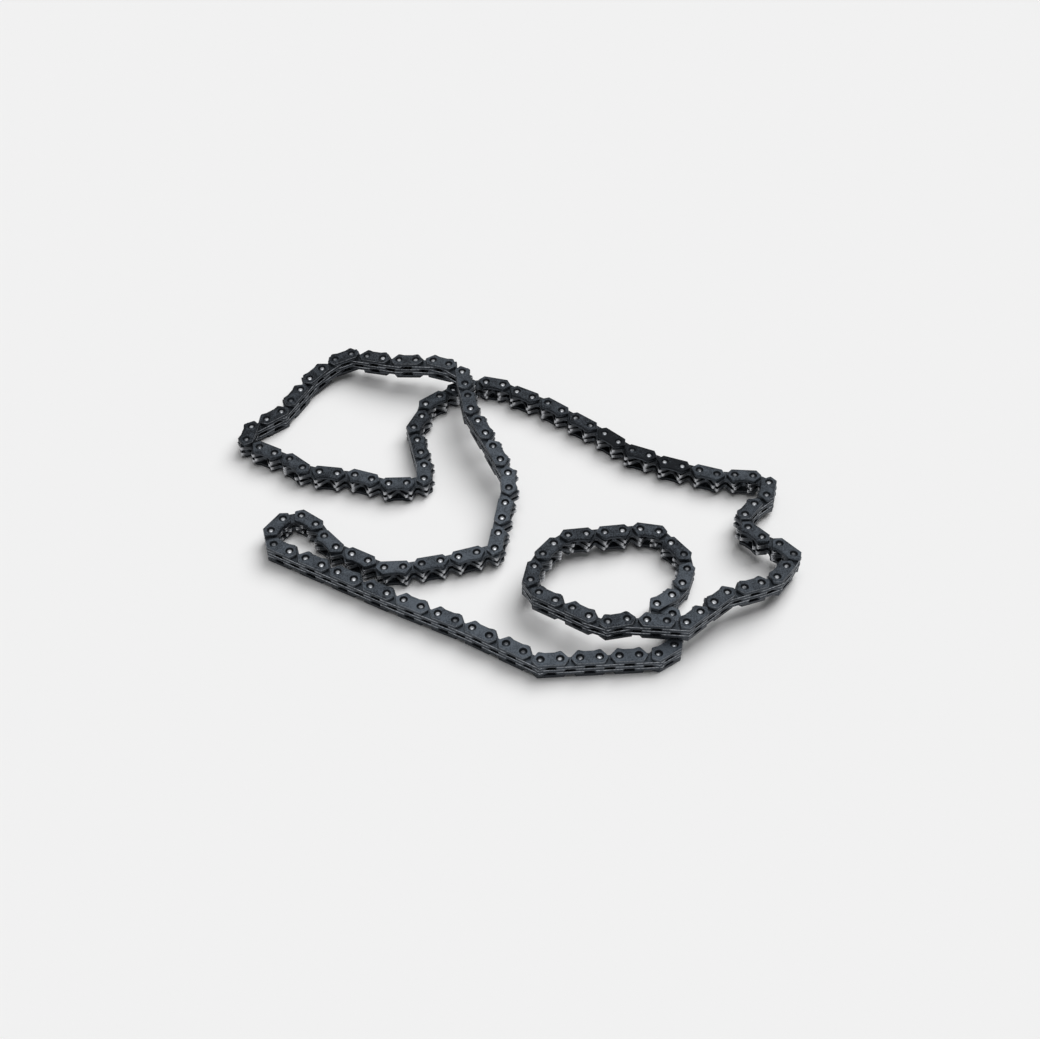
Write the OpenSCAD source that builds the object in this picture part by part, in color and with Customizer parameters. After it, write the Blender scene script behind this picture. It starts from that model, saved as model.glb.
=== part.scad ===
// Endless silent (inverted tooth) timing chain, lying on its side in an open
// loop that passes over itself twice. Units are millimetres, +Z is up.
//
// Across its width the chain has five layers of plates. A guide row is a guide
// plate, a tooth plate and a guide plate with two pins pressed in. A link row is
// two tooth plates that turn on the pins of the guide rows before and after it.

/* [Chain] */
// Distance from pin to pin
pitch = 6.35; // [6:0.05:7]
// Diameter of the pins
pin_d = 2.2; // [1.8:0.05:2.5]
// Radial play of a tooth plate that turns on a pin
running_play = 0.12; // [0.1:0.01:0.14]
// Radial room left round a pin that is pressed into its own row
press_play = 0.01; // [0.005:0.005:0.02]
// How far the pin ends lie below the outer faces
pin_recess = 0.2; // [0.05:0.01:0.3]
// Chamfer round each pin end
pin_chamfer = 0.3; // [0.1:0.05:0.4]

/* [Plates] */
// Thickness of every plate
plate_t = 1.27; // [1:0.01:1.5]
// Side play between neighbouring layers of plates
side_play = 0.13; // [0.12:0.01:0.16]
// Room left between the ends of neighbouring plates of one layer
end_gap = 0.5; // [0.4:0.05:0.7]
// From the pin line to the straight back edge
back_h = 2.6; // [2.2:0.05:2.7]
// How far the straight back edge runs past each pin
back_run = 1.2; // [1:0.05:1.4]

/* [Guide plates] */
// From the pin line to the crowns
guide_crown_h = 3; // [2.7:0.05:3.2]
// Radius of the crowns
guide_crown_r = 0.8; // [0.6:0.05:1]
// How far the crowns lie outward of the pins
guide_crown_out = 0.2; // [0:0.05:0.4]
// From the pin line to the shallow waist between the crowns
guide_waist_h = 2.5; // [2.3:0.05:2.6]
// Length of the flat bottom of the waist
guide_waist_run = 2; // [1.5:0.1:2.5]
// Radius of the rounded ends
guide_end_r = 0.6; // [0.4:0.05:0.8]
// How far the centres of those ends lie towards the back edge
guide_end_back = 0.2; // [0:0.05:0.4]
// Diameter of the dished rim round a pin end
dish_d = 2.9; // [2.6:0.05:3.2]
// Depth of the dished rim
dish_depth = 0.45; // [0.15:0.05:0.6]

/* [Tooth plates] */
// From the pin line to the tips of the teeth
tooth_h = 3.8; // [3.4:0.05:3.9]
// Radius of the tips
tooth_tip_r = 0.45; // [0.3:0.05:0.6]
// How far the tips lie inward of the pins
tooth_tip_in = 0.35; // [0.2:0.05:0.5]
// From the pin line to the bottom of the crotch between the teeth
crotch_h = 1.3; // [1.2:0.05:1.8]
// Radius of the bottom of the crotch
crotch_r = 1; // [0.8:0.05:1.1]
// Radius of the rounded ends
tooth_end_r = 0.8; // [0.6:0.05:1]
// How far the centres of those ends lie towards the back edge
tooth_end_back = 0.3; // [0:0.05:0.5]

/* [Lay] */
// Room between the two strands where one passes over the other
cross_gap = 0.35; // [0.3:0.05:0.6]
// Links over which the slope of a raised strand grows or fades
ease_links = 5; // [4:1:6]

/* [Hidden] */
$fn = 48;

// The lie of the chain, seen from above: stretches of [links, heading in degrees].
// The teeth point to the left of the heading. The neck and the front run have no
// heading of their own, because they are turned until the loop closes.
lobe_lie = [
    [1, -170], [1, -155], [2, -142], [1, -101], [1, -115], [3, -77], [1, -88], [1, -160],
    [1, -178], [2, 162], [2, 173], [1, 163], [1, 140], [2, 153], [1, 143], [1, 79], [2, 38],
    [3, 61], [1, 48], [1, 40], [1, 20], [3, -18], [2, -7], [1, -22], [1, -40], [3, -80],
    [5, -65], [1, -87]
];
neck_links = 4;
tip_lie = [
    [3, -165], [2, -168], [1, -177], [3, 152], [1, 132], [1, 122], [1, 144], [1, -167],
    [1, -125], [1, -76], [7, -28], [4, -26], [1, -28], [4, -30]
];
front_links = 6;
right_lie = [
    [1, 34], [1, 80], [1, 98], [1, 139], [1, 35], [1, 53], [1, 72], [1, 96], [2, 129],
    [1, 173], [4, -169], [1, -140], [1, -127], [1, -116], [1, -102], [1, -64], [3, -33],
    [1, -23], [1, 10], [3, -4], [3, 42], [2, 22], [1, 27], [1, 53], [1, 61], [1, 131],
    [1, 150], [1, 132], [1, 92], [1, 53], [1, 42], [1, 76], [1, 145], [2, 174], [3, 161],
    [1, 150], [1, 158], [2, 139], [4, 143], [2, 152], [1, 146], [1, 167]
];

// Rows where a strand starts to rise, is highest, starts to fall and lies flat again
raised = [[25, 39, 40, 55], [95, 114, 115, 136]];
// Step up to the first rising row, so that its lower edge stays off the floor
toe_step = 0.035;

// The rows of each piece of chain that keeps its shape, as [first, last]
MAIN = [[146, 148], [1, 2], [25, 56], [70, 70]];
RIGHT = [[80, 136]];
LOBE = [[6, 21]];
TIP = [[60, 66]];
FRONT = [[72, 78]];
BACK = [[138, 144]];
function row(k) = [[k, k]];

// Sizes that follow from the ones above
layers = 5;
layer_step = plate_t + side_play;
width = layers * plate_t + (layers - 1) * side_play;
reach = (pitch - end_gap) / 2;
pin_length = width - 2 * pin_recess;

// Vectors of the lie in units of one pitch
function unit(heading) = [cos(heading), sin(heading)];
function span(lie, i = 0) =
    i == len(lie) ? [0, 0] : lie[i][0] * unit(lie[i][1]) + span(lie, i + 1);
function headings_of(lie) = [for (stretch = lie) for (i = [1:stretch[0]]) stretch[1]];

// The two closing stretches and the gap they bridge form a triangle
gap = -span(lobe_lie) - span(tip_lie) - span(right_lie);
gap_heading = atan2(gap.y, gap.x);
gap_links = norm(gap);
function corner(near, far) =
    acos((near * near + gap_links * gap_links - far * far) / (2 * near * gap_links));
neck_heading = gap_heading - corner(neck_links, front_links);
front_heading = gap_heading + corner(front_links, neck_links);

headings = concat(
    headings_of(lobe_lie), headings_of([[neck_links, neck_heading]]),
    headings_of(tip_lie), headings_of([[front_links, front_heading]]),
    headings_of(right_lie)
);
rows = len(headings);

// Pin places in the plan, before the loop is centred on the origin
walk = [
    for (k = 0, p = [0, 0]; k < rows; p = p + pitch * unit(headings[k]), k = k + 1) p
];
walk_x = [for (p = walk) p.x];
walk_y = [for (p = walk) p.y];
centre = [max(walk_x) + min(walk_x), max(walk_y) + min(walk_y)] / 2;

// Rows and pins are numbered from 1, and row k runs from pin k to pin k + 1
function wrap(k) = (k + rows - 1) % rows;
function pin_at(k) = walk[wrap(k)] - centre;
function step_of(k) = pin_at(k + 1) - pin_at(k);
function heading_of(k) = headings[wrap(k)];

// Way of the chain over nine links, without the turn of the single row
function chord(k) = pin_at(k + 5) - pin_at(k - 4);
function way_of(k) = chord(k) / norm(chord(k));

// A raised strand climbs and falls along smooth slopes. The slope of a row is a
// plan vector, so that neighbouring rows stay nearly parallel round a bend.
lift = width + cross_gap;
function ease(i, n) = max(0, min(1, (i + 0.5) / ease_links, (n - i - 0.5) / ease_links));
function gain(first, last) = lift / sum([
    for (k = [first:last - 1]) ease(k - first, last - first) * (way_of(k) * step_of(k))
]);
function sum(v, i = 0) = i == len(v) ? 0 : v[i] + sum(v, i + 1);
rise_gain = [for (r = raised) gain(r[0], r[1])];
fall_gain = [for (r = raised) gain(r[2], r[3])];
function slope_in(k, i) =
    let (r = raised[i])
    k >= r[0] && k < r[1] ? rise_gain[i] * ease(k - r[0], r[1] - r[0]) * way_of(k)
    : k >= r[2] && k < r[3] ? -fall_gain[i] * ease(k - r[2], r[3] - r[2]) * way_of(k)
    : [0, 0];
slopes = [for (k = [1:rows]) slope_in(k, 0) + slope_in(k, 1)];
heights = [
    for (k = 1, z = 0; k <= rows + 1; z = z + (k > rows ? 0 : slopes[k - 1] * step_of(k)), k = k + 1) z
];
function is_raised(k) = len([for (r = raised) if (k >= r[0] && k < r[3]) r]) > 0;
function height_of(k) =
    (heights[k - 1] + heights[k]) / 2 + (is_raised(k) ? toe_step : 0) + width / 2;

// Places its children on row k, with x along the row and y towards the teeth
module on_row(k) {
    along = unit(heading_of(k));
    across = [-along.y, along.x];
    middle = pin_at(k) + step_of(k) / 2;
    translate([middle.x, middle.y, height_of(k)])
        rotate([atan(slopes[k - 1] * across), -atan(slopes[k - 1] * along), heading_of(k)])
            children();
}

// Places its children on every guide row (parity 0) or link row (parity 1) of a body
module on_rows(body, parity) {
    for (range = body)
        for (k = [range[0]:range[1]])
            if (k % 2 == parity)
                on_row(k) children();
}

function arc(c, r, from, to, steps) =
    [for (i = [0:steps]) c + r * unit(from + (to - from) * i / steps)];
function mirrored(points) = [for (i = [len(points) - 1:-1:0]) [-points[i].x, points[i].y]];

// Outline of a guide plate: two low crowns over the pins and a shallow waist
module guide_outline() {
    side = concat(
        [[pitch / 2 + back_run, -back_h]],
        arc([pitch / 2 + reach - guide_end_r, -guide_end_back], guide_end_r, -55, 40, 4),
        arc([pitch / 2 + guide_crown_out, guide_crown_h - guide_crown_r], guide_crown_r, 45, 110, 4),
        [[guide_waist_run / 2, guide_waist_h]]
    );
    polygon(concat(side, mirrored(side)));
}

// Outline of a tooth plate: straight outer flanks, rounded tips and a round crotch
module tooth_outline() {
    side = concat(
        [[pitch / 2 + back_run, -back_h]],
        arc([pitch / 2 + reach - tooth_end_r, -tooth_end_back], tooth_end_r, -55, 30, 3),
        arc([pitch / 2 - tooth_tip_in, tooth_h - tooth_tip_r], tooth_tip_r, 30, 160, 4),
        arc([0, crotch_h + crotch_r], crotch_r, -20, -70, 3)
    );
    polygon(concat(side, mirrored(side)));
}

module pin_holes(play) {
    for (x = [-pitch / 2, pitch / 2])
        translate([x, 0])
            circle(d = pin_d + 2 * play);
}

module guide_plate() {
    difference() {
        linear_extrude(plate_t)
            difference() {
                guide_outline();
                pin_holes(press_play);
            }
        for (x = [-pitch / 2, pitch / 2])
            translate([x, 0, plate_t - dish_depth])
                cylinder(h = 2 * dish_depth, d1 = pin_d, d2 = 2 * dish_d - pin_d);
    }
}

module tooth_plate(play) {
    linear_extrude(plate_t)
        difference() {
            tooth_outline();
            pin_holes(play);
        }
}

// Lowers its children from mid-width to the given layer, 0 at the bottom to 4 at the top
module in_layer(layer) {
    translate([0, 0, layer * layer_step - width / 2])
        children();
}

module guide_plates_top(body) {
    color("#3a3f48")
        on_rows(body, 0)
            in_layer(4)
                guide_plate();
}

module guide_plates_bottom(body) {
    color("#3a3f48")
        on_rows(body, 0)
            in_layer(0)
                translate([0, 0, plate_t])
                    rotate([180, 0, 0])
                        mirror([0, 1, 0])
                            guide_plate();
}

module guide_plates(body) {
    guide_plates_top(body);
    guide_plates_bottom(body);
}

module middle_tooth_plates(body) {
    color("#32363e")
        on_rows(body, 0)
            in_layer(2)
                tooth_plate(press_play);
}

module link_plates_in(body, layer) {
    color("#2c3038")
        on_rows(body, 1)
            in_layer(layer)
                tooth_plate(running_play);
}

module link_plates(body) {
    link_plates_in(body, 1);
    link_plates_in(body, 3);
}

module pin() {
    r = pin_d / 2;
    half = pin_length / 2;
    rotate_extrude()
        polygon([
            [0, -half], [r - pin_chamfer, -half], [r, pin_chamfer - half],
            [r, half - pin_chamfer], [r - pin_chamfer, half], [0, half]
        ]);
}

module pins(body) {
    color("#a9adb3")
        on_rows(body, 0)
            for (x = [-pitch / 2, pitch / 2])
                translate([x, 0, 0])
                    pin();
}

guide_plates_top(MAIN);  // main_guide_plates_top
guide_plates_bottom(MAIN);  // main_guide_plates_bottom
middle_tooth_plates(MAIN);  // main_middle_tooth_plates
link_plates_in(MAIN, 3);  // main_link_plates_upper
link_plates_in(MAIN, 1);  // main_link_plates_lower
pins(MAIN);  // main_pins
guide_plates_top(RIGHT);  // right_guide_plates_top
guide_plates_bottom(RIGHT);  // right_guide_plates_bottom
middle_tooth_plates(RIGHT);  // right_middle_tooth_plates
link_plates_in(RIGHT, 3);  // right_link_plates_upper
link_plates_in(RIGHT, 1);  // right_link_plates_lower
pins(RIGHT);  // right_pins
guide_plates(LOBE);  // lobe_guide_plates
middle_tooth_plates(LOBE);  // lobe_middle_tooth_plates
link_plates(LOBE);  // lobe_link_plates
pins(LOBE);  // lobe_pins
guide_plates(TIP);  // tip_guide_plates
middle_tooth_plates(TIP);  // tip_middle_tooth_plates
link_plates(TIP);  // tip_link_plates
pins(TIP);  // tip_pins
guide_plates(FRONT);  // front_guide_plates
middle_tooth_plates(FRONT);  // front_middle_tooth_plates
link_plates(FRONT);  // front_link_plates
pins(FRONT);  // front_pins
guide_plates(BACK);  // back_guide_plates
middle_tooth_plates(BACK);  // back_middle_tooth_plates
link_plates(BACK);  // back_link_plates
pins(BACK);  // back_pins
link_plates(row(3));  // row_003_link_plates
link_plates(row(5));  // row_005_link_plates
link_plates(row(23));  // row_023_link_plates
link_plates(row(57));  // row_057_link_plates
link_plates(row(59));  // row_059_link_plates
link_plates(row(67));  // row_067_link_plates
link_plates(row(69));  // row_069_link_plates
link_plates(row(71));  // row_071_link_plates
link_plates(row(79));  // row_079_link_plates
link_plates(row(137));  // row_137_link_plates
link_plates(row(145));  // row_145_link_plates
guide_plates(row(4));  // row_004_guide_plates
middle_tooth_plates(row(4));  // row_004_middle_tooth_plate
pins(row(4));  // row_004_pins
guide_plates(row(22));  // row_022_guide_plates
middle_tooth_plates(row(22));  // row_022_middle_tooth_plate
pins(row(22));  // row_022_pins
guide_plates(row(24));  // row_024_guide_plates
middle_tooth_plates(row(24));  // row_024_middle_tooth_plate
pins(row(24));  // row_024_pins
guide_plates(row(58));  // row_058_guide_plates
middle_tooth_plates(row(58));  // row_058_middle_tooth_plate
pins(row(58));  // row_058_pins
guide_plates(row(68));  // row_068_guide_plates
middle_tooth_plates(row(68));  // row_068_middle_tooth_plate
pins(row(68));  // row_068_pins
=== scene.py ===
"""Looks of the silent timing chain that lies on its side in an open loop.

Every plate and pin is laid on its row of the chain by geometry nodes. The rows are
worked out here by the same rule as in the part's source, from the same stretches.
"""

import math

import bmesh
import bpy
from mathutils import Matrix, Vector


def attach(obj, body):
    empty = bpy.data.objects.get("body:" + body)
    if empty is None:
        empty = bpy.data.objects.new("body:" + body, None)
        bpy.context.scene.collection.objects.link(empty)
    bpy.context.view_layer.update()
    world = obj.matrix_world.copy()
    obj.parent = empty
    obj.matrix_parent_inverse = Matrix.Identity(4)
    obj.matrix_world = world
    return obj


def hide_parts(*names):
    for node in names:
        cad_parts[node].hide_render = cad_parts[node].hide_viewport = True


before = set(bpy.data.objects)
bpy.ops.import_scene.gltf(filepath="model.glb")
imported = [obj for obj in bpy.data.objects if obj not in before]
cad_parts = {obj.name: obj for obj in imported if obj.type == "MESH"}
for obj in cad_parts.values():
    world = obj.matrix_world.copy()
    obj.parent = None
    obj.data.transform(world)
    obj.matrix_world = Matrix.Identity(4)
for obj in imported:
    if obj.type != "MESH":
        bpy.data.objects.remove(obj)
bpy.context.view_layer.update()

MM = 0.001
MM_IN_METRE = 1000.0

# Sizes of the chain, in millimetres

PITCH = 6.35
PIN_D = 2.2
RUNNING_PLAY = 0.12
PRESS_PLAY = 0.01
PIN_RECESS = 0.2

PLATE_T = 1.27
SIDE_PLAY = 0.13
END_GAP = 0.5
BACK_H = 2.6
BACK_RUN = 1.2

GUIDE_CROWN_H = 3.0
GUIDE_CROWN_R = 0.8
GUIDE_CROWN_OUT = 0.2
GUIDE_WAIST_H = 2.5
# Read more closely here than in the part's source, where the waist runs for 2.0
GUIDE_WAIST_RUN = 3.2
GUIDE_END_R = 0.6
GUIDE_END_BACK = 0.2
DISH_D = 2.9
DISH_DEPTH = 0.45

TOOTH_H = 3.8
TOOTH_TIP_R = 0.45
TOOTH_TIP_IN = 0.35
CROTCH_H = 1.3
CROTCH_R = 1.0
TOOTH_END_R = 0.8
TOOTH_END_BACK = 0.3

CROSS_GAP = 0.35
EASE_LINKS = 5
TOE_STEP = 0.035

LAYER_STEP = PLATE_T + SIDE_PLAY
MIDDLE_LAYER = 2
WIDTH = 5 * PLATE_T + 4 * SIDE_PLAY
REACH = (PITCH - END_GAP) / 2
PIN_LENGTH = WIDTH - 2 * PIN_RECESS
PLATE_TOP = PLATE_T / 2

# Rounding that blanking and tumbling leave on the upper edges of a plate
EDGE_ROLL = 0.14
# Spun ends of the pins: radius of the dome, and its rings as shares of the pin radius
DOME_R = 1.9
DOME_RINGS = (0.55, 1.0)
CIRCLE_SIDES = 12
# Edges that bend by less than this are shaded smooth, in degrees
CRISP_ANGLE = 48

# The lie of the chain, as stretches of (links, heading in degrees)

LOBE_LIE = [
    (1, -170), (1, -155), (2, -142), (1, -101), (1, -115), (3, -77), (1, -88), (1, -160),
    (1, -178), (2, 162), (2, 173), (1, 163), (1, 140), (2, 153), (1, 143), (1, 79), (2, 38),
    (3, 61), (1, 48), (1, 40), (1, 20), (3, -18), (2, -7), (1, -22), (1, -40), (3, -80),
    (5, -65), (1, -87),
]
NECK_LINKS = 4
TIP_LIE = [
    (3, -165), (2, -168), (1, -177), (3, 152), (1, 132), (1, 122), (1, 144), (1, -167),
    (1, -125), (1, -76), (7, -28), (4, -26), (1, -28), (4, -30),
]
FRONT_LINKS = 6
RIGHT_LIE = [
    (1, 34), (1, 80), (1, 98), (1, 139), (1, 35), (1, 53), (1, 72), (1, 96), (2, 129),
    (1, 173), (4, -169), (1, -140), (1, -127), (1, -116), (1, -102), (1, -64), (3, -33),
    (1, -23), (1, 10), (3, -4), (3, 42), (2, 22), (1, 27), (1, 53), (1, 61), (1, 131),
    (1, 150), (1, 132), (1, 92), (1, 53), (1, 42), (1, 76), (1, 145), (2, 174), (3, 161),
    (1, 150), (1, 158), (2, 139), (4, 143), (2, 152), (1, 146), (1, 167),
]
# Stretches that pass over others, as the rows (rise from, up at, fall from, down at)
RAISED = [(25, 39, 40, 55), (95, 114, 115, 136)]

# Rows of each body that keeps its shape, as (first, last)
BODIES = {
    "main": [(146, 148), (1, 2), (25, 56), (70, 70)],
    "right": [(80, 136)],
    "lobe": [(6, 21)],
    "tip": [(60, 66)],
    "front": [(72, 78)],
    "back": [(138, 144)],
}
LONE_LINK_ROWS = [3, 5, 23, 57, 59, 67, 69, 71, 79, 137, 145]
LONE_GUIDE_ROWS = [4, 22, 24, 58, 68]

# Stretches whose faces are coloured lighter or darker than the rest, as (first, last, tone)
ROW_TONES = [
    (1, 8, -0.4), (9, 14, 0.1), (15, 20, -0.2), (21, 34, -0.65), (35, 43, 0.05),
    (44, 56, 0.4), (57, 72, 0.0), (73, 94, 0.6), (95, 112, -0.2), (113, 124, 0.1),
    (125, 128, -0.2), (129, 134, 0.1), (135, 140, -1.2), (141, 148, -0.6),
]
# How far single pieces differ in tone from their row
TONE_SPREAD = 0.18


def unit(heading):
    """A step of length 1 along a heading in degrees."""
    return Vector((math.cos(math.radians(heading)), math.sin(math.radians(heading))))


def span(lie):
    """Where a lie ends, in pitches from its start."""
    return sum((links * unit(heading) for links, heading in lie), Vector((0, 0)))


def closing_headings():
    """Headings of the neck and the front run, which bridge the gap as a triangle."""
    gap = -(span(LOBE_LIE) + span(TIP_LIE) + span(RIGHT_LIE))
    ahead = math.degrees(math.atan2(gap.y, gap.x))

    def corner(near, far):
        side = gap.length
        return math.degrees(math.acos((near**2 + side**2 - far**2) / (2 * near * side)))

    return ahead - corner(NECK_LINKS, FRONT_LINKS), ahead + corner(FRONT_LINKS, NECK_LINKS)


class Route:
    """Place, turn and height of each row. Row k runs from pin k to pin k + 1."""

    def __init__(self):
        neck, front = closing_headings()
        lie = LOBE_LIE + [(NECK_LINKS, neck)] + TIP_LIE + [(FRONT_LINKS, front)] + RIGHT_LIE
        self.headings = [heading for links, heading in lie for _ in range(links)]
        self.row_count = len(self.headings)
        walk, place = [], Vector((0, 0))
        for heading in self.headings:
            walk.append(place.copy())
            place += PITCH * unit(heading)
        low = Vector((min(p.x for p in walk), min(p.y for p in walk)))
        high = Vector((max(p.x for p in walk), max(p.y for p in walk)))
        self.pins = [p - (low + high) / 2 for p in walk]
        self.slopes = [Vector((0, 0)) for _ in range(self.row_count + 1)]
        for rise, top, fall, end in RAISED:
            self.set_slope(rise, top, 1)
            self.set_slope(fall, end, -1)
        self.heights = [0, 0]
        for k in range(1, self.row_count + 1):
            self.heights.append(self.heights[k] + self.slopes[k].dot(self.step(k)))

    def pin(self, k):
        return self.pins[(k - 1) % self.row_count]

    def step(self, k):
        return self.pin(k + 1) - self.pin(k)

    def way(self, k):
        """The general way of the strand at a row, over nine links of it."""
        return (self.pin(k + 5) - self.pin(k - 4)).normalized()

    def set_slope(self, first, last, sign):
        """Slopes that lift the strand over a crossing, or lower it, eased at both ends."""
        def ease(k):
            i, n = k - first, last - first
            return max(0, min(1, (i + 0.5) / EASE_LINKS, (n - i - 0.5) / EASE_LINKS))

        rise = sum(ease(k) * self.way(k).dot(self.step(k)) for k in range(first, last))
        for k in range(first, last):
            self.slopes[k] = sign * (WIDTH + CROSS_GAP) / rise * ease(k) * self.way(k)

    def height(self, k):
        """Height of the middle of a row. Raised rows stand on their lower edge."""
        raised = any(first <= k < last for first, _, _, last in RAISED)
        middle = (self.heights[k] + self.heights[k + 1]) / 2
        return middle + (TOE_STEP if raised else 0) + WIDTH / 2

    def place(self, k):
        middle = self.pin(k) + self.step(k) / 2
        return Vector((middle.x, middle.y, self.height(k))) * MM

    def turn(self, k):
        """Angles about x, y and z of a row, with x along it and y towards the teeth."""
        along = unit(self.headings[k - 1])
        across = Vector((-along.y, along.x))
        slope = self.slopes[k]
        return Vector((
            math.atan(slope.dot(across)),
            -math.atan(slope.dot(along)),
            math.radians(self.headings[k - 1]),
        ))


def row_tone(k):
    return next(tone for first, last, tone in ROW_TONES if first <= k <= last)


# One plate of each kind and one pin, in metres, each about its own middle


def arc(centre, radius, start, end, steps):
    """Points on an arc from one angle to another, in degrees."""
    return [
        Vector(centre) + radius * unit(start + (end - start) * i / steps)
        for i in range(steps + 1)
    ]


def circle(centre, radius):
    return arc(centre, radius, 0, 360, CIRCLE_SIDES)[:CIRCLE_SIDES]


def with_mirror(side):
    """The right side of an outline, followed by its mirror image."""
    return side + [Vector((-p.x, p.y)) for p in reversed(side)]


def guide_outline():
    """Two low crowns over the pins with a shallow waist between them."""
    end = (PITCH / 2 + REACH - GUIDE_END_R, -GUIDE_END_BACK)
    crown = (PITCH / 2 + GUIDE_CROWN_OUT, GUIDE_CROWN_H - GUIDE_CROWN_R)
    return with_mirror(
        [Vector((PITCH / 2 + BACK_RUN, -BACK_H))]
        + arc(end, GUIDE_END_R, -55, 40, 2)
        + arc(crown, GUIDE_CROWN_R, 45, 110, 2)
        + [Vector((GUIDE_WAIST_RUN / 2, GUIDE_WAIST_H))]
    )


def tooth_outline():
    """Straight outer flanks, rounded tips and a round crotch."""
    end = (PITCH / 2 + REACH - TOOTH_END_R, -TOOTH_END_BACK)
    tip = (PITCH / 2 - TOOTH_TIP_IN, TOOTH_H - TOOTH_TIP_R)
    return with_mirror(
        [Vector((PITCH / 2 + BACK_RUN, -BACK_H))]
        + arc(end, TOOTH_END_R, -55, 30, 2)
        + arc(tip, TOOTH_TIP_R, 30, 160, 3)
        + arc((0, CROTCH_H + CROTCH_R), CROTCH_R, -20, -65, 1)
    )


def inset(points, by):
    """The outline drawn in by a distance, corner by corner."""
    # A sharp corner moves no further in than one with this squareness
    least_square = 0.3
    drawn_in = []
    for i, p in enumerate(points):
        before = (p - points[i - 1]).normalized()
        after = (points[(i + 1) % len(points)] - p).normalized()
        inward = Vector((-before.y - after.y, before.x + after.x)).normalized()
        square = inward.dot(Vector((-before.y, before.x)))
        drawn_in.append(p + inward * by / max(square, least_square))
    return drawn_in


def ring(bm, points, z):
    return [bm.verts.new(Vector((p.x, p.y, z)) * MM) for p in points]


def band(bm, upper, lower):
    """Faces between two closed rings that run anticlockwise seen from above."""
    n = len(upper)
    return [
        bm.faces.new((upper[i], lower[i], lower[(i + 1) % n], upper[(i + 1) % n]))
        for i in range(n)
    ]


def flat_face(bm, outside, holes, up):
    """A flat side in two halves that meet along the line through the pin holes."""
    n, half_way = len(outside), len(holes[0]) // 2
    right = min(range(n // 2), key=lambda i: abs(outside[i].co.y))
    left = n - 1 - right
    left_hole, right_hole = holes
    upper = outside[right:left + 1] + left_hole[half_way::-1] + right_hole[half_way::-1]
    lower = outside[left:] + outside[:right + 1]
    for hole in (right_hole, left_hole):
        lower += [hole[0]] + hole[:half_way - 1:-1]
    return [bm.faces.new(loop if up else loop[::-1]) for loop in (upper, lower)]


def finish_mesh(bm, name):
    """Marks the edges that stay crisp, notes the place in the piece and makes the mesh."""
    bm.normal_update()
    flat = bm.faces.layers.float["flat"]
    smooth_below = math.radians(CRISP_ANGLE)
    for edge in bm.edges:
        pair = edge.link_faces
        if len(pair) == 2:
            beside_flat = (pair[0][flat] > 0.5) != (pair[1][flat] > 0.5)
            edge.smooth = not beside_flat and edge.calc_face_angle() < smooth_below
    for face in bm.faces:
        face.smooth = True
    in_piece = bm.verts.layers.float_vector.new("in_piece")
    for vert in bm.verts:
        vert[in_piece] = vert.co
    mesh = bpy.data.meshes.new(name)
    bm.to_mesh(mesh)
    bm.free()
    piece = bpy.data.objects.new(name, mesh)
    bpy.context.scene.collection.objects.link(piece)
    return piece


def plate(name, outline, hole_rings):
    """A blanked plate, rolled on its upper edge. Hole rings are (radius, height)."""
    bm = bmesh.new()
    flat = bm.faces.layers.float.new("flat")
    rim = bm.faces.layers.float.new("rim")
    recess = bm.faces.layers.float.new("recess")
    levels = [(EDGE_ROLL, PLATE_TOP), (0, PLATE_TOP - EDGE_ROLL), (0, -PLATE_TOP)]
    rings = [ring(bm, inset(outline, by), z) for by, z in levels]
    for upper, lower in zip(rings, rings[1:]):
        for face in band(bm, upper, lower):
            face[rim] = 1
    holes = []
    for x in (-PITCH / 2, PITCH / 2):
        bore = [ring(bm, circle((x, 0), radius), z) for radius, z in hole_rings]
        for upper, lower in zip(bore, bore[1:]):
            for face in band(bm, lower, upper):
                face[recess] = 1
        holes.append(bore)
    sides = flat_face(bm, rings[0], [bore[0] for bore in holes], True)
    sides += flat_face(bm, rings[-1], [bore[-1] for bore in holes], False)
    for face in sides:
        face[flat] = 1
    return finish_mesh(bm, name)


def pin(name):
    """A pin whose two ends are spun to low domes."""
    bm = bmesh.new()
    bm.faces.layers.float.new("flat")
    half = PIN_LENGTH / 2
    dome = []
    for share in DOME_RINGS:
        radius = share * PIN_D / 2
        dome.append((radius, half - DOME_R + math.sqrt(DOME_R**2 - radius**2)))
    profile = dome + [(radius, -z) for radius, z in reversed(dome)]
    rings = [ring(bm, circle((0, 0), radius), z) for radius, z in profile]
    for upper, lower in zip(rings, rings[1:]):
        band(bm, upper, lower)
    bm.faces.new(rings[0])
    bm.faces.new(rings[-1][::-1])
    return finish_mesh(bm, name)


PRESSED_R = PIN_D / 2 + PRESS_PLAY
RUNNING_R = PIN_D / 2 + RUNNING_PLAY

guide_plate = plate(
    "guide_plate",
    guide_outline(),
    [(DISH_D / 2, PLATE_TOP), (PRESSED_R, PLATE_TOP - DISH_DEPTH), (PRESSED_R, -PLATE_TOP)],
)
middle_tooth_plate = plate(
    "middle_tooth_plate",
    tooth_outline(),
    [(PRESSED_R, PLATE_TOP), (PRESSED_R, -PLATE_TOP)],
)
link_plate = plate(
    "link_plate",
    tooth_outline(),
    [(RUNNING_R, PLATE_TOP), (RUNNING_R, -PLATE_TOP)],
)
chain_pin = pin("chain_pin")

# Nodes of the steel finishes


def feed(tree, socket, value):
    """Sets a plain number or colour on a socket, or links another node's output to it."""
    if isinstance(value, (int, float, tuple)):
        socket.default_value = value
    else:
        tree.links.new(value, socket)


def maths(tree, operation, *values, clamp=False):
    node = tree.nodes.new("ShaderNodeMath")
    node.operation = operation
    node.use_clamp = clamp
    for socket, value in zip(node.inputs, values):
        feed(tree, socket, value)
    return node.outputs[0]


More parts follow.
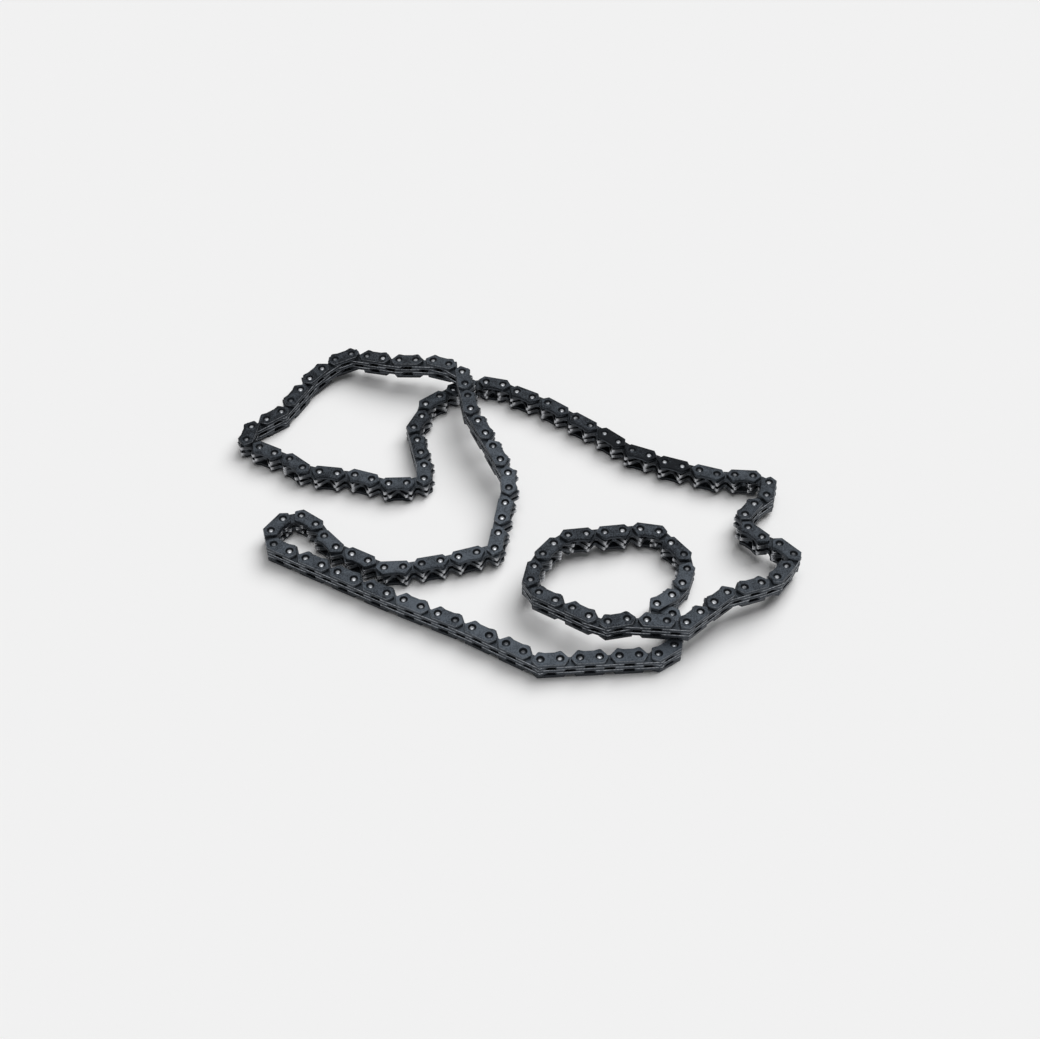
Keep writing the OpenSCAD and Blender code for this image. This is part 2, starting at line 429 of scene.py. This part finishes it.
def spread(tree, value, low, high, to_low=0.0, to_high=1.0):
    """A value's way from low to high, as a way from to_low to to_high that stays inside."""
    node = tree.nodes.new("ShaderNodeMapRange")
    node.inputs["From Min"].default_value = low
    node.inputs["From Max"].default_value = high
    node.inputs["To Min"].default_value = to_low
    node.inputs["To Max"].default_value = to_high
    tree.links.new(value, node.inputs["Value"])
    return node.outputs["Result"]


def noise(tree, place, scale, detail=2.0, roughness=0.5):
    """Noise with a scale in waves per metre."""
    node = tree.nodes.new("ShaderNodeTexNoise")
    node.inputs["Detail"].default_value = detail
    node.inputs["Roughness"].default_value = roughness
    tree.links.new(place, node.inputs["Vector"])
    feed(tree, node.inputs["Scale"], scale)
    return node.outputs["Fac"]


# A Mix node's sockets share their names, so they are taken by number


def mixed_value(tree, share, a, b):
    node = tree.nodes.new("ShaderNodeMix")
    node.data_type = "FLOAT"
    for number, value in ((0, share), (2, a), (3, b)):
        feed(tree, node.inputs[number], value)
    return node.outputs[0]


def mixed_colour(tree, share, a, b):
    node = tree.nodes.new("ShaderNodeMix")
    node.data_type = "RGBA"
    for number, value in ((0, share), (6, a), (7, b)):
        feed(tree, node.inputs[number], value)
    return node.outputs[2]


def read(tree, name, output="Fac"):
    """An attribute that the piece carries."""
    node = tree.nodes.new("ShaderNodeAttribute")
    node.attribute_name = name
    return node.outputs[output]


def node_group(name, inputs, outputs):
    """An empty shader node group. Its inputs are (label, kind), its outputs are numbers."""
    tree = bpy.data.node_groups.new(name, "ShaderNodeTree")
    for label, kind in inputs:
        tree.interface.new_socket(label, in_out="INPUT", socket_type="NodeSocket" + kind)
    for label in outputs:
        tree.interface.new_socket(label, in_out="OUTPUT", socket_type="NodeSocketFloat")
    return tree, tree.nodes.new("NodeGroupInput"), tree.nodes.new("NodeGroupOutput")


def place_group(tree, group, **values):
    """Places a node group in a material with the material's own values."""
    node = tree.nodes.new("ShaderNodeGroup")
    node.node_tree = group
    for label, value in values.items():
        feed(tree, node.inputs[label.replace("_", " ")], value)
    return node.outputs


def grey(value):
    return (value, value, value, 1.0)


# Effects that more than one finish uses. Noise scales are in waves per metre.

CLOUD_SCALE = 330.0
PIT_SCALE = 9000.0
WEAR_SCALE = 1500.0
TEAR_SCALE = 1400.0
# Noise values at which flecks, clouds and patches of wear begin and are full
FLECK_RANGE = (0.35, 0.68)
CLOUD_RANGE = (0.35, 0.65)
WEAR_RANGE = (0.38, 0.62)

# The torn band's upper line in millimetres: how far it wavers, sits low and is blurred
TEAR_WAVER = 0.25
TEAR_DROP = 0.12
TEAR_BLUR = 0.12
# Wear of the upper edge where it is least, and the lower edge's share of the upper one's wear
# and painted highlight
LEAST_WEAR = 0.35
LOWER_WEAR_AND_SHEEN = 0.3


def tumbled_grain():
    """Flecks, clouds and the height of fine pits that tumbling leaves on hard steel."""
    tree, given, made = node_group(
        "tumbled_grain",
        [("Place", "Vector"), ("Fleck size mm", "Float")],
        ["Flecks", "Clouds", "Pits"],
    )
    place = given.outputs["Place"]
    fleck_scale = maths(tree, "DIVIDE", MM_IN_METRE, given.outputs["Fleck size mm"])
    flecks = noise(tree, place, fleck_scale, detail=3.0, roughness=0.6)
    clouds = noise(tree, place, CLOUD_SCALE)
    tree.links.new(spread(tree, flecks, *FLECK_RANGE), made.inputs["Flecks"])
    tree.links.new(spread(tree, clouds, *CLOUD_RANGE), made.inputs["Clouds"])
    tree.links.new(noise(tree, place, PIT_SCALE), made.inputs["Pits"])
    return tree


def blanked_edge():
    """The corners, lightened by wear and by a painted highlight that is stronger on the upper
    edge, and the torn band on the rim of a blanked plate.
    """
    tree, given, made = node_group(
        "blanked_edge",
        [("Place", "Vector"), ("Height mm", "Float"), ("Rim", "Float"), ("Torn share", "Float")],
        ["Rolled", "Torn"],
    )
    place = given.outputs["Place"]
    height = given.outputs["Height mm"]
    rim = given.outputs["Rim"]
    # Painted highlight: the upper edge is coloured lighter than the lower one, as if lit from
    # above, besides the patches of wear
    upper = spread(tree, height, PLATE_TOP - 2 * EDGE_ROLL, PLATE_TOP - EDGE_ROLL)
    lower = spread(
        tree, height, EDGE_ROLL - PLATE_TOP, 2 * EDGE_ROLL - PLATE_TOP, LOWER_WEAR_AND_SHEEN, 0.0
    )
    corner = maths(tree, "MULTIPLY", maths(tree, "MAXIMUM", upper, lower), rim)
    patches = noise(tree, place, WEAR_SCALE, detail=1.0)
    patchy = spread(tree, patches, *WEAR_RANGE, LEAST_WEAR, 1.0)
    tree.links.new(maths(tree, "MULTIPLY", corner, patchy), made.inputs["Rolled"])
    line = maths(tree, "MULTIPLY", given.outputs["Torn share"], PLATE_T)
    line = maths(tree, "SUBTRACT", line, PLATE_TOP + TEAR_DROP)
    waver = noise(tree, place, TEAR_SCALE, detail=1.0)
    line = maths(tree, "ADD", line, maths(tree, "MULTIPLY", waver, TEAR_WAVER))
    torn = spread(tree, maths(tree, "SUBTRACT", line, height), -TEAR_BLUR, TEAR_BLUR)
    tree.links.new(maths(tree, "MULTIPLY", torn, rim), made.inputs["Torn"])
    return tree


GRAIN = tumbled_grain()
EDGE = blanked_edge()


def new_finish(name, metallic):
    """A material with its surface, the place of its grain and the place in the piece."""
    material = bpy.data.materials.new(name)
    material.use_nodes = True
    tree = material.node_tree
    surface = tree.nodes["Principled BSDF"]
    surface.inputs["Metallic"].default_value = metallic
    place = tree.nodes.new("ShaderNodeTexCoord").outputs["Object"]
    in_piece = tree.nodes.new("ShaderNodeSeparateXYZ")
    tree.links.new(read(tree, "in_piece", "Vector"), in_piece.inputs[0])
    return material, surface, place, in_piece.outputs


def fine_relief(tree, surface, height, strength, depth):
    """Bump from a height value. The depth is in millimetres."""
    bump = tree.nodes.new("ShaderNodeBump")
    bump.inputs["Strength"].default_value = strength
    bump.inputs["Distance"].default_value = depth * MM
    tree.links.new(height, bump.inputs["Height"])
    tree.links.new(bump.outputs["Normal"], surface.inputs["Normal"])


# Oxide-black plates

PLATE_METALLIC = 0.85
PLATE_FLECK_SIZE = 0.45
PIT_STRENGTH = 0.35
PIT_DEPTH = 0.04
# The torn band's share of the plate's thickness
TORN_SHARE = 0.42
# Painted shade: the faces of the dished pin holes are coloured near black, standing in for the
# shade in them
RECESS_PAINTED_SHADE = (0.02, 0.023, 0.028, 1)
RECESS_DULL = 0.6
# How far the flecks move the dullness to either side
FLECK_DULL = 0.08

# What takes the face of a plate from its dark colour, 0, to its light one, 1
FACE_LIGHTNESS = 0.42
CLOUD_SHARE = 0.3
TONE_SHARE = 0.5
FLECK_SHARE = 0.7
# Painted shade towards the border of a face
BORDER_SHADE_SHARE = 0.22

# Zones of a plate, in millimetres from the line through its pins towards the teeth
BORDER_SHADE_ZONE = (1.3, 2.9)
BACK_ZONE = (0.6, -1.6)
FLANK_ZONE = (1.0, 3.0)
TIP_ZONE = (3.0, 3.6)
# How far a flank is lightened by wear and a painted sheen, and how much further a tip is by wear
# and a painted glint
FLANK_WEAR_AND_SHEEN = 0.16
TIP_WEAR_AND_GLINT = 0.84


def face_lightness(tree, grain, toward_teeth):
    """Clouds, the row's tone and flecks, with painted shade that darkens a face towards its
    border.
    """
    lightness = maths(tree, "MULTIPLY", grain["Clouds"], CLOUD_SHARE)
    lightness = maths(tree, "ADD", lightness, FACE_LIGHTNESS)
    tone = maths(tree, "MULTIPLY", read(tree, "tone"), TONE_SHARE)
    lightness = maths(tree, "ADD", lightness, tone)
    flecks = maths(tree, "SUBTRACT", grain["Flecks"], 0.5)
    flecks = maths(tree, "MULTIPLY", flecks, FLECK_SHARE)
    off_line = maths(tree, "ABSOLUTE", toward_teeth)
    # Painted shade that darkens the face towards its border
    border = spread(tree, off_line, *BORDER_SHADE_ZONE, 0.0, BORDER_SHADE_SHARE)
    flecks = maths(tree, "SUBTRACT", flecks, border)
    return maths(tree, "ADD", lightness, flecks, clamp=True)


def plate_finish(name, dark, light, corner_wear_and_sheen, torn, tip_wear_and_glint, dull, worn_dull):
    """Oxide-black steel with flecked faces given painted shade towards their borders, corners
    lightened by wear and painted highlight, torn sides, and tips with wear and a painted glint.
    """
    material, surface, place, in_piece = new_finish(name, PLATE_METALLIC)
    tree = material.node_tree
    height = maths(tree, "MULTIPLY", in_piece["Z"], MM_IN_METRE)
    toward_teeth = maths(tree, "MULTIPLY", in_piece["Y"], MM_IN_METRE)
    rim, recess = read(tree, "rim"), read(tree, "recess")
    grain = place_group(tree, GRAIN, Place=place, Fleck_size_mm=PLATE_FLECK_SIZE)
    edge = place_group(
        tree, EDGE, Place=place, Height_mm=height, Rim=rim, Torn_share=TORN_SHARE
    )
    # Corners at the back edge are light with wear and painted highlight, those between the teeth
    # stay black
    back_wear_and_sheen = maths(tree, "MULTIPLY", edge["Rolled"], spread(tree, toward_teeth, *BACK_ZONE))
    # Flanks that ride on the sprockets wear a little, and their tips bright, with a painted
    # sheen on the flanks and a painted glint on the tips
    flanks = spread(tree, toward_teeth, *FLANK_ZONE, 0.0, FLANK_WEAR_AND_SHEEN)
    tips = spread(tree, toward_teeth, *TIP_ZONE, 0.0, TIP_WEAR_AND_GLINT)
    ridden_wear_and_glint = maths(tree, "MULTIPLY", maths(tree, "ADD", flanks, tips), rim)

    colour = mixed_colour(tree, face_lightness(tree, grain, toward_teeth), dark, light)
    colour = mixed_colour(tree, edge["Torn"], colour, torn)
    colour = mixed_colour(tree, back_wear_and_sheen, colour, corner_wear_and_sheen)
    colour = mixed_colour(tree, ridden_wear_and_glint, colour, tip_wear_and_glint)
    # Painted shade in the dished pin holes
    colour = mixed_colour(tree, recess, colour, RECESS_PAINTED_SHADE)
    tree.links.new(colour, surface.inputs["Base Color"])

    dullness = mixed_value(tree, grain["Flecks"], dull + FLECK_DULL, dull - FLECK_DULL)
    polished = maths(tree, "MAXIMUM", back_wear_and_sheen, ridden_wear_and_glint)
    dullness = mixed_value(tree, polished, dullness, worn_dull)
    dullness = mixed_value(tree, recess, dullness, RECESS_DULL)
    tree.links.new(dullness, surface.inputs["Roughness"])
    fine_relief(tree, surface, grain["Pits"], PIT_STRENGTH, PIT_DEPTH)
    return material


# Spun pins

PIN_METALLIC = 1.0
PIN_FLECK_SIZE = 0.5
PIN_BRIGHT = (0.42, 0.433, 0.453, 1)
# Colour of the darker clouds on the middle, and of the painted shade on the shoulder
PIN_DARK_AND_SHADE = (0.03, 0.034, 0.04, 1)
PIN_BRIGHT_DULL = (0.18, 0.26)
PIN_BLACK_DULL = 0.45
# Where the painted shade on the shoulder of a pin's end begins and is full, in millimetres from
# the middle
SHOULDER_SHADE_ZONE = (0.5, 0.9)
# Where clouds on the middle begin to darken it, where they are full, and how far they go
PIN_CLOUD_ZONE = (0.25, 0.85)
PIN_CLOUD_SHARE = 0.85
# Rings of the spinning tool, in radians per millimetre
TOOL_RINGS = 46.0
TOOL_RING_STRENGTH = 0.2
TOOL_RING_DEPTH = 0.01


def pin_finish(name):
    """Dark steel with the fine rings of the spinning tool and a shoulder coloured dark as
    painted shade.
    """
    material, surface, place, in_piece = new_finish(name, PIN_METALLIC)
    tree = material.node_tree
    across = maths(tree, "POWER", in_piece["X"], 2.0)
    across = maths(tree, "ADD", across, maths(tree, "POWER", in_piece["Y"], 2.0))
    radius = maths(tree, "MULTIPLY", maths(tree, "SQRT", across), MM_IN_METRE)
    grain = place_group(tree, GRAIN, Place=place, Fleck_size_mm=PIN_FLECK_SIZE)
    clouds = spread(tree, grain["Clouds"], *PIN_CLOUD_ZONE, 0.0, PIN_CLOUD_SHARE)
    # Painted shade: the shoulder round the middle of each end is coloured near black
    shoulder = spread(tree, radius, *SHOULDER_SHADE_ZONE)
    black = maths(tree, "ADD", clouds, shoulder, clamp=True)
    colour = mixed_colour(tree, black, PIN_BRIGHT, PIN_DARK_AND_SHADE)
    tree.links.new(colour, surface.inputs["Base Color"])
    dullness = mixed_value(tree, grain["Flecks"], *PIN_BRIGHT_DULL)
    dullness = mixed_value(tree, black, dullness, PIN_BLACK_DULL)
    tree.links.new(dullness, surface.inputs["Roughness"])
    rings = maths(tree, "SINE", maths(tree, "MULTIPLY", radius, TOOL_RINGS))
    rings = spread(tree, rings, -1.0, 1.0)
    fine_relief(tree, surface, rings, TOOL_RING_STRENGTH, TOOL_RING_DEPTH)
    return material


TOOTHED_STEEL = {
    "dark": (0.008, 0.0095, 0.012, 1),
    "light": (0.072, 0.084, 0.099, 1),
    "torn": (0.057, 0.064, 0.074, 1),
    "tip_wear_and_glint": (0.45, 0.46, 0.48, 1),
    "dull": 0.42,
    "worn_dull": 0.26,
}

# Finishes by the record's material slot
FINISHES = {
    "guide_plate_steel": plate_finish(
        "guide_plate_oxide",
        dark=(0.0065, 0.008, 0.0105, 1),
        light=(0.087, 0.102, 0.121, 1),
        corner_wear_and_sheen=(0.17, 0.182, 0.2, 1),
        torn=(0.055, 0.062, 0.072, 1),
        tip_wear_and_glint=(0.05, 0.057, 0.066, 1),
        dull=0.45,
        worn_dull=0.32,
    ),
    "tooth_plate_steel": plate_finish(
        "middle_tooth_plate_oxide", corner_wear_and_sheen=(0.3, 0.32, 0.35, 1), **TOOTHED_STEEL
    ),
    "link_plate_steel": plate_finish(
        "link_plate_oxide", corner_wear_and_sheen=(0.36, 0.38, 0.41, 1), **TOOTHED_STEEL
    ),
    "pin_steel": pin_finish("spun_pin_steel"),
}

# Geometry nodes that lay one or two pieces on every row of a body


def laying_tree():
    """The rows come as points with a turn and a tone. The result is one plain mesh."""
    tree = bpy.data.node_groups.new("pieces_on_rows", "GeometryNodeTree")
    for label, kind in (
        ("Rows", "Geometry"),
        ("Piece", "Object"),
        ("First place", "Vector"),
        ("Second place", "Vector"),
        ("Second turn", "Vector"),
        ("Two on each row", "Bool"),
        ("Tone spread", "Float"),
        ("Seed", "Int"),
        ("Steel", "Material"),
    ):
        tree.interface.new_socket(label, in_out="INPUT", socket_type="NodeSocket" + kind)
    tree.interface.new_socket(
        "Laid pieces", in_out="OUTPUT", socket_type="NodeSocketGeometry"
    )
    nodes, link = tree.nodes, tree.links.new
    given, made = nodes.new("NodeGroupInput").outputs, nodes.new("NodeGroupOutput").inputs

    def of_row(name, kind):
        node = nodes.new("GeometryNodeInputNamedAttribute")
        node.data_type = kind
        node.inputs["Name"].default_value = name
        return node.outputs["Attribute"]

    def as_rotation(angles):
        node = nodes.new("FunctionNodeEulerToRotation")
        link(angles, node.inputs["Euler"])
        return node.outputs["Rotation"]

    def moved(geometry, place):
        node = nodes.new("GeometryNodeTransform")
        link(geometry, node.inputs["Geometry"])
        link(place, node.inputs["Translation"])
        return node

    piece = nodes.new("GeometryNodeObjectInfo")
    link(given["Piece"], piece.inputs["Object"])
    first = moved(piece.outputs["Geometry"], given["First place"])
    second = moved(piece.outputs["Geometry"], given["Second place"])
    link(as_rotation(given["Second turn"]), second.inputs["Rotation"])
    both = nodes.new("GeometryNodeJoinGeometry")
    link(first.outputs["Geometry"], both.inputs["Geometry"])
    link(second.outputs["Geometry"], both.inputs["Geometry"])
    chosen = nodes.new("GeometryNodeSwitch")
    chosen.input_type = "GEOMETRY"
    link(given["Two on each row"], chosen.inputs["Switch"])
    link(first.outputs["Geometry"], chosen.inputs["False"])
    link(both.outputs["Geometry"], chosen.inputs["True"])

    laid = nodes.new("GeometryNodeInstanceOnPoints")
    link(given["Rows"], laid.inputs["Points"])
    link(chosen.outputs["Output"], laid.inputs["Instance"])
    link(as_rotation(of_row("turn", "FLOAT_VECTOR")), laid.inputs["Rotation"])
    real = nodes.new("GeometryNodeRealizeInstances")
    link(laid.outputs["Instances"], real.inputs["Geometry"])

    # A small difference of tone from piece to piece, on top of that of the row
    island = nodes.new("GeometryNodeInputMeshIsland")
    chance = nodes.new("FunctionNodeRandomValue")
    chance.data_type = "FLOAT"
    # The sockets of its lowest and highest number share their names with others
    chance.inputs[2].default_value = -1.0
    chance.inputs[3].default_value = 1.0
    link(island.outputs["Island Index"], chance.inputs["ID"])
    link(given["Seed"], chance.inputs["Seed"])
    tone = nodes.new("ShaderNodeMath")
    tone.operation = "MULTIPLY_ADD"
    link(chance.outputs[1], tone.inputs[0])
    link(given["Tone spread"], tone.inputs[1])
    link(of_row("row_tone", "FLOAT"), tone.inputs[2])
    toned = nodes.new("GeometryNodeStoreNamedAttribute")
    toned.data_type = "FLOAT"
    toned.domain = "POINT"
    toned.inputs["Name"].default_value = "tone"
    link(real.outputs["Geometry"], toned.inputs["Geometry"])
    link(tone.outputs[0], toned.inputs["Value"])
    steeled = nodes.new("GeometryNodeSetMaterial")
    link(toned.outputs["Geometry"], steeled.inputs["Geometry"])
    link(given["Steel"], steeled.inputs["Material"])
    link(steeled.outputs["Geometry"], made["Laid pieces"])
    return tree


LAYING = laying_tree()
# A modifier takes its inputs by these identifiers
LAYING_INPUTS = {
    item.name: item.identifier
    for item in LAYING.interface.items_tree
    if item.item_type == "SOCKET" and item.in_out == "INPUT"
}

LEVEL = (0.0, 0.0, 0.0)
UPSIDE_DOWN = (0.0, math.pi, 0.0)
PIN_PLACES = [(-PITCH / 2, 0.0, 0.0), (PITCH / 2, 0.0, 0.0)]


def layer(number):
    """Middle of a layer of plates, 0 at the bottom to 4 at the top."""
    return (0.0, 0.0, (number - MIDDLE_LAYER) * LAYER_STEP)


def row_points(route, name, rows):
    """One point at the middle of each row, with the row's turn and tone."""
    mesh = bpy.data.meshes.new(name)
    mesh.from_pydata([route.place(k) for k in rows], [], [])
    # The turns are filled in first, because a new attribute would cut them off
    turns = mesh.attributes.new("turn", "FLOAT_VECTOR", "POINT")
    turns.data.foreach_set("vector", [angle for k in rows for angle in route.turn(k)])
    tones = mesh.attributes.new("row_tone", "FLOAT", "POINT")
    tones.data.foreach_set("value", [row_tone(k) for k in rows])
    piece = bpy.data.objects.new(name, mesh)
    bpy.context.scene.collection.objects.link(piece)
    return piece


def lay(route, name, body, rows, model, places, slot, seed, nodes, second_turn=LEVEL):
    """Lays a model at one or two places of every row, as a mesh that rides on the body."""
    piece = row_points(route, name, rows)
    modifier = piece.modifiers.new("laying", "NODES")
    modifier.node_group = LAYING
    settings = {
        "Piece": model,
        "First place": [v * MM for v in places[0]],
        "Second place": [v * MM for v in places[-1]],
        "Second turn": second_turn,
        "Two on each row": len(places) == 2,
        "Tone spread": TONE_SPREAD,
        "Seed": seed,
        "Steel": FINISHES[slot],
    }
    for label, value in settings.items():
        modifier[LAYING_INPUTS[label]] = value
    graph = bpy.context.evaluated_depsgraph_get()
    mesh = bpy.data.meshes.new_from_object(
        piece.evaluated_get(graph), preserve_all_data_layers=True, depsgraph=graph
    )
    piece.modifiers.remove(modifier)
    points = piece.data
    piece.data = mesh
    mesh.name = name
    bpy.data.meshes.remove(points)
    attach(piece, body)
    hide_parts(*nodes)


def dress_guide_rows(route, body, rows, seed, nodes):
    """Top and bottom guide plates, middle tooth plates and pins of a body's guide rows."""
    lay(
        route, body + "_guide_plates_finished", body, rows, guide_plate,
        [layer(4), layer(0)], "guide_plate_steel", seed, nodes["guide"], UPSIDE_DOWN,
    )
    lay(
        route, body + "_middle_tooth_plates_finished", body, rows, middle_tooth_plate,
        [layer(MIDDLE_LAYER)], "tooth_plate_steel", seed + 1, nodes["middle"],
    )
    lay(
        route, body + "_pins_finished", body, rows, chain_pin,
        PIN_PLACES, "pin_steel", seed + 2, nodes["pins"],
    )


def dress_link_rows(route, body, rows, seed, nodes):
    """Upper and lower link plates of a body's link rows."""
    lay(
        route, body + "_link_plates_finished", body, rows, link_plate,
        [layer(3), layer(1)], "link_plate_steel", seed + 3, nodes,
    )


def dress_chain():
    """Guide rows have even numbers and link rows have odd ones."""
    route = Route()
    for number, (body, ranges) in enumerate(BODIES.items()):
        rows = [k for first, last in ranges for k in range(first, last + 1)]
        # The nodes of the two long bodies hold one layer of plates each
        by_layer = body in ("main", "right")
        guide = ["_guide_plates_top", "_guide_plates_bottom"] if by_layer else ["_guide_plates"]
        link = ["_link_plates_upper", "_link_plates_lower"] if by_layer else ["_link_plates"]
        dress_guide_rows(route, body, [k for k in rows if k % 2 == 0], 10 * number, {
            "guide": [body + end for end in guide],
            "middle": [body + "_middle_tooth_plates"],
            "pins": [body + "_pins"],
        })
        links = [k for k in rows if k % 2 == 1]
        dress_link_rows(route, body, links, 10 * number, [body + end for end in link])
    for k in LONE_GUIDE_ROWS:
        body = f"row_{k:03d}"
        dress_guide_rows(route, body, [k], 1000 + 10 * k, {
            "guide": [body + "_guide_plates"],
            "middle": [body + "_middle_tooth_plate"],
            "pins": [body + "_pins"],
        })
    for k in LONE_LINK_ROWS:
        body = f"row_{k:03d}"
        dress_link_rows(route, body, [k], 1000 + 10 * k, [body + "_link_plates"])


# Camera. Its place and lens were solved from the pins: angles in degrees, places and
# distance in millimetres, focal length in pixels of a picture of the given width.

CAMERA_ELEVATION = 49.293
CAMERA_AZIMUTH = 1.0486
CAMERA_ROLL = 0.987
CAMERA_TARGET = (3.175, -9.947, 6.459)
CAMERA_DISTANCE = 545.17
FOCAL_PIXELS = 1584.64
PICTURE_WIDTH = 1040
SENSOR_WIDTH = 36.0


def set_camera():
    """The photograph's own view."""
    elevation, azimuth = math.radians(CAMERA_ELEVATION), math.radians(CAMERA_AZIMUTH)
    roll = math.radians(CAMERA_ROLL)
    target = Vector(CAMERA_TARGET) * MM
    forward = Vector((
        math.sin(azimuth) * math.cos(elevation),
        math.cos(azimuth) * math.cos(elevation),
        -math.sin(elevation),
    ))
    level_right = forward.cross(Vector((0, 0, 1))).normalized()
    level_up = level_right.cross(forward)
    right = math.cos(roll) * level_right + math.sin(roll) * level_up
    up = -math.sin(roll) * level_right + math.cos(roll) * level_up
    data = bpy.data.cameras.new("camera")
    data.sensor_width = SENSOR_WIDTH
    data.lens = FOCAL_PIXELS / PICTURE_WIDTH * SENSOR_WIDTH
    data.clip_start, data.clip_end = 0.01, 20.0
    camera = bpy.data.objects.new("camera", data)
    bpy.context.scene.collection.objects.link(camera)
    turn = Matrix((right, up, -forward)).transposed().to_4x4()
    camera.matrix_world = Matrix.Translation(target - forward * CAMERA_DISTANCE * MM) @ turn
    bpy.context.scene.camera = camera


# Floor and light. The overhead lamp has what the other two shares of the light leave
# of 1, so the floor renders in its own colour.

FLOOR_COLOUR = 0.88
FLOOR_HALF_WIDTH = 3.0
# The floor lies a hair under the lowest plates, so that they share no plane
FLOOR_DROP = 0.00003
SURROUND_SHARE = 0.14
BEHIND_SHARE = 0.6


def make_floor():
    bm = bmesh.new()
    half = FLOOR_HALF_WIDTH
    corners = [(-half, -half), (half, -half), (half, half), (-half, half)]
    bm.faces.new([bm.verts.new((x, y, -FLOOR_DROP)) for x, y in corners])
    mesh = bpy.data.meshes.new("floor")
    bm.to_mesh(mesh)
    bm.free()
    floor = bpy.data.objects.new("floor", mesh)
    bpy.context.scene.collection.objects.link(floor)
    material = bpy.data.materials.new("pale_studio_floor")
    material.use_nodes = True
    surface = material.node_tree.nodes["Principled BSDF"]
    surface.inputs["Base Color"].default_value = grey(FLOOR_COLOUR)
    surface.inputs["Roughness"].default_value = 1.0
    surface.inputs["Specular IOR Level"].default_value = 0.0
    mesh.materials.append(material)


def soft_lamp(name, elevation, azimuth, share, width):
    """A distant round softbox of a width in degrees, with its share of the floor's light."""
    level = math.cos(math.radians(elevation))
    height = math.sin(math.radians(elevation))
    turn = math.radians(azimuth)
    lamp = bpy.data.lights.new(name, "SUN")
    lamp.energy = share * math.pi / height
    lamp.angle = math.radians(width)
    holder = bpy.data.objects.new(name, lamp)
    toward = Vector((math.sin(turn) * level, math.cos(turn) * level, height))
    holder.rotation_euler = toward.to_track_quat("Z", "Y").to_euler()
    bpy.context.scene.collection.objects.link(holder)
    return holder


def make_light():
    """A softbox behind on the right, one overhead and a weak pale surround."""
    world = bpy.data.worlds.new("pale_surround")
    bpy.context.scene.world = world
    world.use_nodes = True
    tree = world.node_tree
    surround = tree.nodes["Background"]
    path = tree.nodes.new("ShaderNodeLightPath")
    seen = maths(tree, "MAXIMUM", path.outputs["Is Camera Ray"], path.outputs["Is Glossy Ray"])
    seen = maths(tree, "MAXIMUM", seen, path.outputs["Is Transmission Ray"])
    strength = mixed_value(tree, seen, SURROUND_SHARE, FLOOR_COLOUR)
    surround.inputs["Color"].default_value = grey(1.0)
    tree.links.new(strength, surround.inputs["Strength"])
    behind = soft_lamp(
        "softbox_behind", elevation=50, azimuth=42, share=BEHIND_SHARE, width=46
    )
    # Only the overhead lamp glints on the domes of the pins
    behind.visible_glossy = False
    overhead_share = 1 - BEHIND_SHARE - SURROUND_SHARE
    soft_lamp("softbox_overhead", elevation=86, azimuth=0, share=overhead_share, width=36)


set_camera()
dress_chain()
for model in (guide_plate, middle_tooth_plate, link_plate, chain_pin):
    bpy.data.objects.remove(model)
make_floor()
make_light()
bpy.context.scene.view_settings.view_transform = "Standard"
